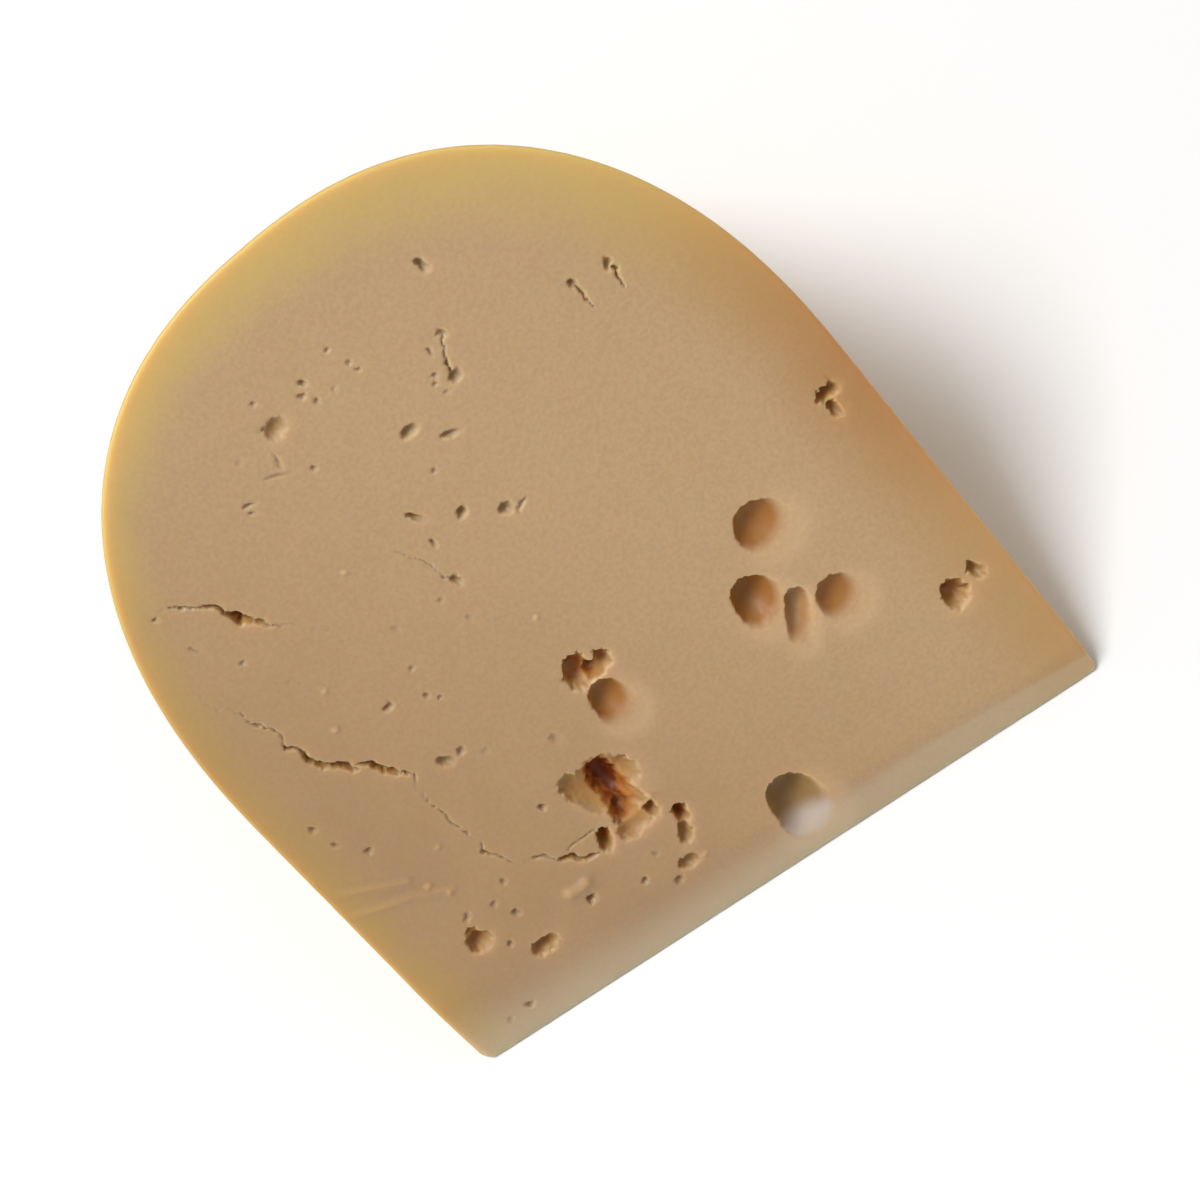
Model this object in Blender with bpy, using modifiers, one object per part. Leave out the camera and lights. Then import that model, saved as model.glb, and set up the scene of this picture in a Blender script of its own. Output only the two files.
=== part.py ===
"""A wedge of semi-hard cheese, lying on one of its two cut faces.

It is an eighth of a round wheel with a full, rounded rim. The wheel's axis lies on the ground along X,
the tip of the wedge points to -Y and the rind is at +Y. Lengths are in metres, and +Z is up.
"""

import math

import bmesh
import bpy
from mathutils import Matrix, Vector, noise

MM = 0.001

# The wheel that the wedge was cut from.
WHEEL_RADIUS = 0.125
WHEEL_HEIGHT = 0.102
EDGE_DEPTH = 0.0625  # how far in from the rim the rounded edge starts
EDGE_POWER = 2.33  # 2 makes the edge elliptical, and more makes it squarer
EDGE_STEPS = 22
WHEEL_STEPS = 208

# The knife's cuts. The lower one is the ground plane, through the wheel's axis.
CUT_ANGLE = math.radians(45)
CUT_SETBACK = 4.6 * MM  # from the wheel's axis to where the upper cut would meet the ground
CUT_SKEW = 0.132  # how much nearer the axis the upper cut is for each unit along +X
TIP_ANGLE = math.radians(62)
TIP_HEIGHT = 8.5 * MM  # of the blunt tip's upper edge, at X = 0
TIP_FALL = 0.06  # how much lower that edge is for each unit along +X
TIP_RUN = 1.0 / math.tan(CUT_ANGLE) - 1.0 / math.tan(TIP_ANGLE)  # back from the upper cut's foot, by height
TIP_SKEW = CUT_SKEW + TIP_FALL * TIP_RUN
FLAT_WITHIN = math.radians(0.2)
KNIFE_SIZE = 0.4

# Openings in a cut face, in millimetres: across, up the face from its foot, width, length, depth.
# The last number is how far each is turned on the face, in degrees.
UPPER_EYES = (
    (27.5, 47.6, 8.2, 7.8, 4.4, 0),
    (20.6, 39.4, 6.8, 8.0, 4.6, 0),
    (23.6, 33.8, 3.8, 8.6, 3.4, -31),
    (29.4, 32.2, 6.4, 6.8, 3.4, 0),
    (-3.4, 41.6, 5.8, 7.2, 4.2, 0),
    (6.8, 11.4, 7.8, 10.8, 4.6, 0),
)
LOWER_EYES = (
    (-21.0, 52.0, 8.4, 7.6, 4.4, 0),
    (-29.5, 45.5, 6.2, 7.0, 3.8, 0),
    (19.0, 81.0, 6.6, 6.0, 3.8, 0),
    (30.0, 38.0, 5.2, 5.6, 3.4, 0),
)
UPPER_TEARS = (
    (-3.6, 48.4, 4.6, 4.6, 4.0, -20),
    (-0.4, 47.4, 2.4, 2.8, 2.2, 0),
    (-11.6, 31.8, 5.0, 10.4, 5.0, 0),
    (-15.4, 35.2, 3.8, 4.4, 2.0, 0),
    (-8.4, 33.0, 3.6, 5.0, 2.0, 0),
    (-12.2, 26.6, 6.6, 3.6, 2.6, 0),
    (-9.4, 25.3, 1.8, 2.6, 2.2, 0),
    (-16.9, 26.2, 2.0, 3.6, 3.0, -25),
    (-6.9, 20.6, 2.2, 5.6, 2.0, -20),
    (-10.2, 15.4, 3.2, 2.0, 1.4, 0),
    (41.8, 21.3, 4.0, 4.2, 2.8, 0),
    (46.1, 22.2, 1.8, 3.0, 1.4, 20),
    (45.8, 56.2, 3.4, 2.0, 1.8, 0),
    (45.1, 54.0, 1.6, 2.8, 1.4, 0),
    (-39.6, 26.6, 3.4, 3.8, 2.4, 0),
    (-33.4, 19.4, 3.8, 2.6, 1.6, 0),
    (-24.0, 23.0, 3.2, 2.0, 1.4, 0),
    (-12.2, 100.9, 3.8, 3.2, 2.0, 20),
    (15.8, 104.8, 1.6, 2.4, 1.4, 0),
    (9.8, 91.0, 2.2, 1.8, 1.4, 0),
    (0.6, 89.2, 2.8, 1.6, 1.4, 0),
    (5.2, 85.3, 3.4, 1.4, 1.2, -25),
    (-6.4, 79.6, 1.4, 3.2, 1.4, 40),
    (-1.4, 76.0, 1.7, 1.7, 1.4, 0),
    (3.8, 72.1, 3.0, 1.8, 1.5, -30),
    (-7.8, 69.4, 1.4, 2.4, 1.2, 35),
    (-25.8, 50.3, 1.8, 2.8, 1.4, 40),
    (29.2, 90.3, 1.6, 1.8, 1.4, 0),
    (33.8, 89.3, 2.2, 1.6, 1.4, -40),
)
LOWER_TEARS = (
    (14.0, 24.0, 8.0, 6.4, 4.0, 0),
    (19.0, 27.5, 5.0, 4.4, 3.0, 0),
    (-14.0, 88.0, 4.4, 3.0, 2.0, 25),
    (-7.0, 95.0, 3.0, 2.4, 1.6, 0),
    (33.0, 62.0, 3.6, 2.8, 1.8, 0),
    (-34.0, 74.0, 3.0, 2.6, 1.6, 0),
    (8.0, 104.0, 2.6, 2.2, 1.6, 0),
    (-24.0, 25.0, 3.8, 3.0, 2.0, -30),
)
EYE_SINK = 0.25  # how deep an eye's centre lies, as a share of the eye's depth
TEAR_RAGGED = 0.3  # how far a tear's wall strays, as a share of its size
TEAR_GRAIN = 3.0  # how many times the ragged wall changes across a tear

# Cracks in a cut face: (across, up, width) along each, in millimetres, and how many widths deep it is.
UPPER_CRACKS = (
    ((-39.2, 92.0, 0.3), (-36.4, 90.2, 0.7), (-33.8, 87.0, 1.0), (-32.3, 84.2, 1.4), (-29.4, 79.6, 0.3)),
    (
        (-42.0, 76.2, 0.3),
        (-41.2, 72.6, 0.5),
        (-39.6, 69.0, 0.8),
        (-39.4, 63.6, 1.0),
        (-38.2, 61.0, 1.1),
        (-36.0, 58.2, 1.1),
        (-33.4, 57.0, 1.0),
        (-31.0, 52.8, 0.6),
        (-31.0, 46.0, 0.5),
        (-30.0, 38.6, 0.4),
        (-28.0, 31.8, 0.4),
        (-24.6, 30.0, 0.7),
        (-21.4, 26.2, 0.8),
        (-18.4, 25.8, 0.4),
    ),
)
LOWER_CRACKS = (
    ((-38.0, 58.0, 0.3), (-36.0, 65.0, 1.0), (-31.0, 71.0, 1.1), (-27.5, 79.0, 0.3)),
)
CRACK_DEPTH = 3.0

RIND_COLOUR = (0.87, 0.44, 0.03)
PASTE_COLOUR = (0.52, 0.34, 0.17)


def clear_scene():
    for item in list(bpy.data.objects):
        bpy.data.objects.remove(item, do_unlink=True)


def collection(name):
    made = bpy.data.collections.new(name)
    bpy.context.scene.collection.children.link(made)
    return made


def material(name, colour, roughness):
    made = bpy.data.materials.new(name)
    made.use_nodes = True
    shader = made.node_tree.nodes["Principled BSDF"]
    shader.inputs["Base Color"].default_value = (*colour, 1.0)
    shader.inputs["Roughness"].default_value = roughness
    shader.inputs["Metallic"].default_value = 0.0
    return made


def add_object(name, bm, matrix, home, look):
    mesh = bpy.data.meshes.new(name)
    bmesh.ops.recalc_face_normals(bm, faces=bm.faces)
    bm.to_mesh(mesh)
    bm.free()
    mesh.materials.append(look)
    made = bpy.data.objects.new(name, mesh)
    made.matrix_world = matrix
    home.objects.link(made)
    return made


def hide_cutter(cutter):
    cutter.hide_render = True
    cutter.display_type = "WIRE"


def slope_frame(foot, slope, skew):
    """The frame of a sloping cut: X across it, Y up it and Z out of it, from its foot at X = 0."""
    up = Vector((0.0, math.cos(slope), math.sin(slope)))
    out = Vector((-skew * math.tan(slope), -math.tan(slope), 1.0)).normalized()
    across = up.cross(out)
    frame = Matrix((across, up, out)).transposed().to_4x4()
    frame.translation = Vector((0.0, foot, 0.0))
    return frame


def tip_frame():
    """The blunt tip's frame. It meets the upper cut at TIP_HEIGHT, falling by TIP_FALL along X."""
    return slope_frame(CUT_SETBACK + TIP_HEIGHT * TIP_RUN, TIP_ANGLE, TIP_SKEW)


def upper_frame():
    return slope_frame(CUT_SETBACK, CUT_ANGLE, CUT_SKEW)


def lower_frame():
    """The lower cut's frame, which faces down. Across it is -X, and up it is +Y."""
    return Matrix(((-1, 0, 0, 0), (0, 1, 0, 0), (0, 0, -1, 0), (0, 0, 0, 1)))


def origin_shift():
    """Moves the wheel's axis so that the wedge's box is centred on the origin."""
    tip_nearest = CUT_SETBACK + TIP_HEIGHT * TIP_RUN - TIP_SKEW * WHEEL_HEIGHT / 2
    return Matrix.Translation((0.0, -(tip_nearest + WHEEL_RADIUS) / 2, 0.0))


def wheel_profile():
    """(radius, height) down the wheel's outer side, from the middle of one flat face to the other's."""
    half = WHEEL_HEIGHT / 2
    points = [(0.0, half)]
    for step in range(EDGE_STEPS + 1):
        turn = math.pi / 2 - math.pi * step / EDGE_STEPS
        out = math.cos(turn) if 0 < step < EDGE_STEPS else 0.0
        rise = math.sin(turn)
        radius = WHEEL_RADIUS - EDGE_DEPTH + EDGE_DEPTH * out ** (2 / EDGE_POWER)
        height = math.copysign(half * abs(rise) ** (2 / EDGE_POWER), rise)
        points.append((radius, height))
    points.append((0.0, -half))
    return points


def add_wheel(home, look):
    """The whole wheel, turned about X."""
    bm = bmesh.new()
    ring = [bm.verts.new((radius, 0.0, height)) for radius, height in wheel_profile()]
    for upper, lower in zip(ring, ring[1:]):
        bm.edges.new((upper, lower))
    mesh = bpy.data.meshes.new("cheese_wedge")
    bm.to_mesh(mesh)
    bm.free()
    mesh.materials.append(look)
    wheel = bpy.data.objects.new("cheese_wedge", mesh)
    half_step = Matrix.Rotation(math.pi / WHEEL_STEPS, 4, "Z")  # keeps the ring's points off the cuts
    wheel.matrix_world = origin_shift() @ Matrix.Rotation(math.pi / 2, 4, "Y") @ half_step
    home.objects.link(wheel)
    turn = wheel.modifiers.new("turned wheel", "SCREW")
    turn.axis = "Z"
    turn.angle = math.tau
    turn.screw_offset = 0.0
    turn.steps = WHEEL_STEPS
    turn.render_steps = WHEEL_STEPS
    turn.use_merge_vertices = True
    turn.merge_threshold = 0.01 * MM
    return wheel


def add_knife(name, frame, home, look):
    """A block on the outer side of a cut."""
    bm = bmesh.new()
    bmesh.ops.create_cube(bm, size=KNIFE_SIZE)
    bmesh.ops.translate(bm, verts=bm.verts, vec=(0.0, 0.0, KNIFE_SIZE / 2))
    knife = add_object(name, bm, origin_shift() @ frame, home, look)
    hide_cutter(knife)


def turned(degrees):
    return Matrix.Rotation(math.radians(degrees), 4, "Z")


def add_eye(name, frame, eye, home, look):
    """A smooth round opening: part of an ellipsoid whose widest ring is a little below the face."""
    across, up, width, length, depth = (value * MM for value in eye[:5])
    sink = EYE_SINK * depth
    semi_depth = depth - sink
    flare = 1.0 / math.sqrt(1.0 - (sink / semi_depth) ** 2)
    bm = bmesh.new()
    bmesh.ops.create_uvsphere(bm, u_segments=18, v_segments=10, radius=1.0)
    bmesh.ops.scale(bm, verts=bm.verts, vec=(flare * width / 2, flare * length / 2, semi_depth))
    place = origin_shift() @ frame @ Matrix.Translation((across, up, -sink)) @ turned(eye[5])
    hide_cutter(add_object(name, bm, place, home, look))


def add_tear(name, frame, tear, home, look):
    """A ragged opening: a round lump whose surface strays in and out."""
    across, up, width, length, depth = (value * MM for value in tear[:5])
    bm = bmesh.new()
    bmesh.ops.create_icosphere(bm, subdivisions=2, radius=1.0)
    here = Vector((tear[0], tear[1], 0.0))
    for vert in bm.verts:
        vert.co *= 1.0 + TEAR_RAGGED * noise.noise(here + vert.co * TEAR_GRAIN)
    bmesh.ops.scale(bm, verts=bm.verts, vec=(width / 2, length / 2, depth))
    place = origin_shift() @ frame @ Matrix.Translation((across, up, 0.0)) @ turned(tear[5])
    hide_cutter(add_object(name, bm, place, home, look))


def add_crack(name, frame, route, home, look):
    """A thin deep split that follows the route: a tube of changing width, stretched out of the face."""
    curve = bpy.data.curves.new(name, "CURVE")
    curve.dimensions = "3D"
    curve.bevel_depth = MM / 2
    curve.bevel_resolution = 1
    curve.use_fill_caps = True
    spline = curve.splines.new("POLY")
    spline.points.add(len(route) - 1)
    for point, (across, up, width) in zip(spline.points, route):
        point.co = (across * MM, up * MM, 0.0, 1.0)
        point.radius = width
    drawn = bpy.data.objects.new(name + " route", curve)
    home.objects.link(drawn)
    bpy.context.view_layer.update()
    graph = bpy.context.evaluated_depsgraph_get()
    mesh = bpy.data.meshes.new_from_object(drawn.evaluated_get(graph))
    bpy.data.objects.remove(drawn, do_unlink=True)
    bm = bmesh.new()
    bm.from_mesh(mesh)
    bpy.data.meshes.remove(mesh)
    bmesh.ops.remove_doubles(bm, verts=bm.verts, dist=0.01 * MM)
    bmesh.ops.scale(bm, verts=bm.verts, vec=(1.0, 1.0, 2 * CRACK_DEPTH))
    hide_cutter(add_object(name, bm, origin_shift() @ frame, home, look))


def cut_away(wedge, label, cutters):
    """Takes every cutter in the collection out of the wedge."""
    cut = wedge.modifiers.new(label, "BOOLEAN")
    cut.operation = "DIFFERENCE"
    cut.operand_type = "COLLECTION"
    cut.collection = cutters
    cut.solver = "EXACT"


def merge_flats(wedge):
    """Makes one face of each flat stretch, which the turning and the cuts left in slivers."""
    merge = wedge.modifiers.new("whole flats", "DECIMATE")
    merge.decimate_type = "DISSOLVE"
    merge.angle_limit = FLAT_WITHIN
    merge.delimit = {"MATERIAL"}


def add_openings(frame, side, openings, home, look):
    eyes, tears, cracks = openings
    for number, eye in enumerate(eyes, start=1):
        add_eye(f"{side} eye {number}", frame, eye, home, look)
    for number, tear in enumerate(tears, start=1):
        add_tear(f"{side} tear {number}", frame, tear, home, look)
    for number, route in enumerate(cracks, start=1):
        add_crack(f"{side} crack {number}", frame, route, home, look)


def main():
    clear_scene()
    rind = material("rind", RIND_COLOUR, 0.45)
    paste = material("paste", PASTE_COLOUR, 0.55)
    parts = collection("cheese wedge")
    knives = collection("knives")
    openings = collection("openings")
    wedge = add_wheel(parts, rind)
    wedge.data.materials.append(paste)
    add_knife("upper cut", upper_frame(), knives, paste)
    add_knife("lower cut", lower_frame(), knives, paste)
    add_knife("tip cut", tip_frame(), knives, paste)
    cut_away(wedge, "cuts", knives)
    merge_flats(wedge)
    add_openings(upper_frame(), "upper", (UPPER_EYES, UPPER_TEARS, UPPER_CRACKS), openings, paste)
    add_openings(lower_frame(), "lower", (LOWER_EYES, LOWER_TEARS, LOWER_CRACKS), openings, paste)
    cut_away(wedge, "openings", openings)


main()
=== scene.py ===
"""The looks of a wedge of semi-hard cheese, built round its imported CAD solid.

One closed mesh stands for the wedge. It has three patches: the upper cut face with the knife's steeper cut at the
tip, the lower cut face that it lies on, and the rind. Each patch is laid out flat, filled with points that are
dense around its holes and cracks, triangulated, and then put in its place with relief.

Lengths are in millimetres until the mesh is made. The wheel's axis is the X axis, the tip points to -Y, and the
ground is at Z = 0.
"""

import math

import bmesh
import bpy
import numpy as np
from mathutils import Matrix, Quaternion, Vector, geometry, noise


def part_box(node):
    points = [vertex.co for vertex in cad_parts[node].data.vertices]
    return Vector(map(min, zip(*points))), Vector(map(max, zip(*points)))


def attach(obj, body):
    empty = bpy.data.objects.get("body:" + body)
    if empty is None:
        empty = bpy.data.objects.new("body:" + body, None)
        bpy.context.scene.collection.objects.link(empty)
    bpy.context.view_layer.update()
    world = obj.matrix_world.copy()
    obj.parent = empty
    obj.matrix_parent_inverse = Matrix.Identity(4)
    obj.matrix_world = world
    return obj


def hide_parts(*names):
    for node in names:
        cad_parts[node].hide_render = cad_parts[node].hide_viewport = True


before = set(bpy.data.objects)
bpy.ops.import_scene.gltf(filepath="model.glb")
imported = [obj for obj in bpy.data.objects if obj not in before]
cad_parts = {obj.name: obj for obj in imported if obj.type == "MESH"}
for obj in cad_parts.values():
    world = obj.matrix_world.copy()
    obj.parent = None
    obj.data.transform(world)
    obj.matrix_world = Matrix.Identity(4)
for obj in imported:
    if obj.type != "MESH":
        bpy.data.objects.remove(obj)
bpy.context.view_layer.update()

MM = 0.001
NODE = "cheese_wedge"
SEED = 11

# The wheel and the knife's cuts, as the CAD has them.
WHEEL_RADIUS = 125.0
EDGE_DEPTH = 62.5
EDGE_POWER = 2.33
CUT_ANGLE = math.radians(45)
CUT_SETBACK = 4.6
CUT_SKEW = 0.132
TIP_ANGLE = math.radians(62)
TIP_HEIGHT = 8.5
TIP_FALL = 0.06
TIP_RUN = 1.0 / math.tan(CUT_ANGLE) - 1.0 / math.tan(TIP_ANGLE)
TIP_SKEW = CUT_SKEW + TIP_FALL * TIP_RUN
TIP_FOOT = CUT_SETBACK + TIP_HEIGHT * TIP_RUN
BOX_LOW, BOX_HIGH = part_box(NODE)
HALF_HEIGHT = (BOX_HIGH.x - BOX_LOW.x) / 2 / MM  # of the wheel
AXIS_Y = BOX_HIGH.y / MM - WHEEL_RADIUS

# How close the mesh's points lie.
FACE_STEP = 1.3
RIND_STEP = 0.95
OUTLINE_STEP = 0.9
OUTLINE_ROWS = (0.3, 0.75, 1.4)  # rows of points along the outline of a patch, this far in from it
FINE_STEP = 0.27  # in holes and cracks
FINE_MARGIN = 0.55  # how far round a hole or crack the points are this close
LEAST_GAP = 0.13
LEAST_AREA = 1e-6
CREASE_ROWS = (-0.4, 0.0, 0.4)  # rows of points along the crease, this far up from it
CREASE_SOFT = (1.1, 0.12)  # how gradually the tip's steeper cut starts, at -X and at +X

# Round, smooth eyes in a cut face: across, up from its foot, width, length, depth, turn in degrees.
UPPER_EYES = (
    (27.4, 47.8, 7.0, 6.9, 1.9, 0),
    (20.5, 39.6, 6.0, 7.4, 2.8, 0),
    (23.7, 34.1, 3.3, 7.4, 1.9, -31),
    (29.4, 32.4, 5.8, 6.2, 1.5, 0),
    (-3.4, 41.8, 5.1, 6.6, 2.0, 0),
    (6.4, 11.6, 6.9, 10.4, 3.4, 0),
)
LOWER_EYES = (
    (-21.0, 52.0, 8.4, 7.6, 4.4, 0),
    (-29.5, 45.5, 6.2, 7.0, 3.8, 0),
    (19.0, 81.0, 6.6, 6.0, 3.8, 0),
    (30.0, 38.0, 5.2, 5.6, 3.4, 0),
)

# Torn holes, as the eyes are given. A large cavity is several that overlap.
UPPER_TEARS = (
    (-4.2, 48.2, 3.6, 5.0, 2.7, -20),
    (-2.4, 46.8, 3.0, 2.6, 3.0, 0),
    (-0.5, 47.3, 2.4, 2.8, 2.2, 0),
    (-11.4, 31.6, 4.4, 9.6, 4.4, 0),
    (-12.0, 33.0, 8.4, 8.2, 1.7, 0),
    (-15.4, 35.0, 3.2, 5.0, 1.4, 0),
    (-8.4, 32.4, 3.2, 4.8, 1.4, 0),
    (-12.3, 27.6, 3.8, 3.6, 3.6, 0),
    (-12.4, 25.0, 5.4, 3.0, 1.3, 0),
    (-9.3, 25.2, 1.8, 2.6, 2.2, 0),
    (-9.5, 27.6, 2.2, 2.4, 1.1, 0),
    (-16.9, 26.2, 2.0, 3.6, 3.0, -25),
    (-6.6, 22.0, 1.9, 3.2, 2.9, -10),
    (-8.0, 19.2, 1.9, 3.4, 1.6, -30),
    (-10.3, 15.3, 3.0, 2.0, 1.2, 0),
    (41.8, 21.4, 3.8, 4.4, 2.5, 0),
    (43.4, 20.8, 1.2, 1.0, 1.6, 0),
    (46.1, 22.3, 1.8, 3.0, 1.4, 20),
    (45.6, 56.2, 3.4, 1.8, 2.0, 0),
    (45.0, 53.9, 1.4, 2.6, 1.5, 0),
    (-39.6, 26.2, 3.6, 3.0, 2.0, 0),
    (-39.6, 28.0, 1.8, 1.8, 1.3, 0),
    (-33.3, 19.4, 4.0, 2.4, 1.7, 0),
    (-24.0, 20.4, 1.6, 1.2, 1.0, 10),
    (-12.2, 101.0, 3.4, 2.8, 0.9, 20),
)
LOWER_TEARS = (
    (14.0, 24.0, 8.0, 6.4, 4.0, 0),
    (19.0, 27.5, 5.0, 4.4, 3.0, 0),
    (-14.0, 88.0, 4.4, 3.0, 2.0, 25),
    (-7.0, 95.0, 3.0, 2.4, 1.6, 0),
    (33.0, 62.0, 3.6, 2.8, 1.8, 0),
    (-34.0, 74.0, 3.0, 2.6, 1.6, 0),
    (8.0, 104.0, 2.6, 2.2, 1.6, 0),
    (-24.0, 25.0, 3.8, 3.0, 2.0, -30),
)

# Small pits, given in the same way.
UPPER_PITS = (
    (-25.7, 50.3, 1.6, 2.6, 0.9, 45),
    (-23.3, 49.9, 1.5, 1.2, 0.6, 0),
    (-20.7, 47.7, 1.2, 1.0, 0.22, 0),
    (-20.3, 35.9, 1.1, 1.3, 0.68, 0),
    (-12.5, 42.5, 1.4, 2.0, 0.3, 0),
    (-42.0, 47.2, 1.0, 1.2, 0.52, 0),
    (-45.4, 54.8, 0.9, 1.3, 0.52, 20),
    (-44.7, 51.0, 0.9, 0.9, 0.45, 0),
    (-36.7, 22.8, 1.2, 1.0, 0.52, 0),
    (-33.0, 26.0, 1.1, 1.6, 0.6, 30),
    (-34.5, 29.2, 1.0, 1.0, 0.45, 0),
    (-38.5, 30.2, 0.8, 1.8, 0.45, -40),
    (-31.3, 30.9, 1.0, 0.9, 0.45, 0),
    (-16.6, 17.3, 1.2, 1.0, 0.6, 0),
    (-13.0, 14.0, 1.6, 1.4, 0.68, 0),
    (-13.0, 19.5, 1.2, 1.0, 0.3, 0),
    (-44.5, 12.8, 1.2, 1.0, 0.3, 0),
    (-41.0, 12.7, 1.4, 1.2, 0.68, 0),
    (-14.9, 97.2, 0.6, 2.4, 0.38, -15),
    (-16.0, 95.9, 0.6, 4.2, 0.3, 62),
    (-12.2, 105.3, 0.9, 0.8, 0.45, 0),
    (-5.6, 103.2, 0.9, 1.3, 0.68, 0),
    (-6.7, 101.9, 1.1, 0.8, 0.52, 0),
    (-5.7, 100.2, 0.8, 1.0, 0.52, 0),
    (-18.7, 100.6, 1.0, 0.9, 0.22, 0),
    (-21.5, 95.4, 0.6, 1.8, 0.52, 60),
    (-21.9, 94.3, 0.6, 1.2, 0.45, 60),
    (-12.0, 93.6, 0.9, 0.9, 0.52, 0),
    (-6.4, 79.6, 0.9, 3.0, 0.9, 32),
    (-6.9, 75.3, 0.8, 1.7, 0.6, 0),
    (-1.4, 76.0, 1.7, 1.6, 0.98, 0),
    (-8.0, 69.3, 1.2, 2.1, 0.83, 25),
    (-11.3, 68.5, 1.0, 0.9, 0.3, 0),
    (-10.0, 64.0, 1.0, 1.0, 0.22, 0),
    (-18.3, 69.5, 1.0, 1.0, 0.22, 0),
    (-26.3, 61.6, 1.7, 1.1, 0.68, 0),
    (-21.4, 59.3, 1.0, 0.9, 0.45, 0),
    (-20.2, 57.9, 0.9, 0.8, 0.38, 0),
    (-20.4, 63.7, 0.9, 0.8, 0.38, 0),
    (0.5, 89.2, 2.8, 1.6, 0.98, 0),
    (-0.5, 82.8, 1.0, 0.9, 0.45, 0),
    (15.9, 104.9, 1.3, 2.4, 0.98, 0),
    (12.2, 96.4, 1.0, 1.6, 0.6, 20),
    (9.4, 95.5, 0.6, 1.5, 0.52, 0),
    (7.8, 92.7, 1.0, 0.9, 0.52, 0),
    (7.2, 91.8, 0.9, 0.8, 0.45, 0),
    (7.7, 90.0, 0.8, 0.8, 0.3, 0),
    (9.8, 90.9, 2.1, 1.6, 0.98, 0),
    (4.4, 85.3, 3.2, 0.9, 0.75, -22),
    (1.0, 99.8, 0.8, 0.8, 0.45, 0),
    (0.6, 101.3, 0.8, 0.8, 0.38, 0),
    (-0.5, 104.4, 0.8, 0.8, 0.45, 0),
    (-3.0, 100.0, 0.9, 0.8, 0.22, 0),
    (3.3, 72.5, 2.2, 1.8, 0.98, -20),
    (5.2, 71.5, 0.6, 2.6, 0.52, -65),
    (29.1, 90.3, 1.3, 1.6, 0.9, 0),
    (34.2, 89.2, 1.0, 2.0, 0.9, -40),
    (-41.1, 91.7, 0.7, 0.7, 0.52, 0),
    (-40.0, 85.0, 0.6, 2.0, 0.3, 30),
    (-36.5, 79.5, 0.9, 0.9, 0.38, 0),
)

# Cracks: (across, up, width) along each.
UPPER_CRACKS = (
    (
        (-39.5, 92.0, 0.11),
        (-37.8, 91.5, 0.38),
        (-36.7, 90.0, 0.49),
        (-35.3, 89.0, 0.49),
        (-34.2, 87.8, 0.73),
        (-33.6, 86.2, 1.0),
        (-32.6, 84.2, 1.8),
        (-31.5, 83.0, 1.1),
        (-30.3, 81.0, 0.49),
        (-29.6, 80.0, 0.19),
        (-27.5, 79.0, 0.11),
        (-26.0, 76.5, 0.14),
        (-24.7, 75.0, 0.07),
    ),
    ((-35.0, 74.5, 0.11), (-33.8, 73.4, 0.19), (-32.7, 71.8, 0.11)),
    ((-43.6, 80.0, 0.11), (-43.8, 77.0, 0.14), (-42.0, 76.0, 0.11), (-41.4, 74.2, 0.19), (-41.6, 72.7, 0.28)),
    (
        (-41.6, 72.7, 0.28),
        (-40.8, 71.3, 0.38),
        (-39.9, 69.8, 0.38),
        (-39.4, 68.6, 0.38),
        (-39.8, 67.5, 0.28),
        (-40.2, 66.5, 0.6),
        (-39.2, 65.3, 0.8),
        (-39.2, 63.5, 1.0),
        (-38.6, 61.2, 1.1),
        (-37.3, 60.2, 1.3),
        (-36.4, 59.2, 1.4),
        (-35.6, 57.8, 1.2),
        (-34.9, 57.4, 0.11),
    ),
    (
        (-35.0, 58.1, 0.11),
        (-33.6, 57.2, 1.0),
        (-32.9, 56.0, 1.2),
        (-32.3, 54.8, 1.2),
        (-31.3, 53.0, 0.9),
        (-30.3, 51.7, 0.5),
        (-30.9, 49.5, 0.12),
        (-31.5, 47.5, 0.3),
        (-30.8, 45.0, 0.3),
        (-30.8, 42.5, 0.35),
        (-30.2, 40.5, 0.35),
        (-29.8, 38.0, 0.12),
        (-30.4, 36.3, 0.6),
        (-29.4, 34.8, 0.5),
        (-28.4, 31.9, 0.12),
        (-27.0, 31.2, 0.12),
        (-25.8, 31.0, 0.3),
        (-24.6, 30.0, 0.5),
        (-23.9, 28.8, 0.12),
        (-22.8, 27.8, 0.8),
        (-21.8, 27.0, 1.0),
        (-20.5, 25.3, 0.86),
        (-18.8, 25.2, 0.19),
    ),
    ((-22.0, 28.6, 0.19), (-20.0, 28.5, 0.38), (-18.5, 28.2, 0.28), (-16.6, 28.6, 0.28)),
    ((-11.6, 78.0, 0.15), (-9.5, 74.0, 0.24), (-9.0, 71.0, 0.31), (-8.0, 69.3, 0.24)),
    ((12.0, 96.0, 0.42), (10.6, 94.2, 0.51), (9.8, 91.8, 0.6)),
    ((29.1, 89.6, 0.6), (29.2, 87.6, 0.51), (29.1, 85.4, 0.15)),
    ((34.6, 88.4, 0.6), (34.2, 86.8, 0.6), (33.9, 85.0, 0.15)),
)
LOWER_CRACKS = (
    (
        (-38.0, 58.0, 0.3),
        (-37.4, 61.0, 0.7),
        (-36.0, 65.0, 1.0),
        (-33.2, 67.6, 1.1),
        (-31.0, 71.0, 1.1),
        (-30.4, 75.2, 0.7),
        (-27.5, 79.0, 0.3),
    ),
)
CRACK_DEPTH = 1.7  # in widths
CRACK_STEP = 0.7
CRACK_WANDER = 0.22
CRACK_WIDTHS = (0.75, 1.15)  # of the width given, at random along a crack

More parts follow.
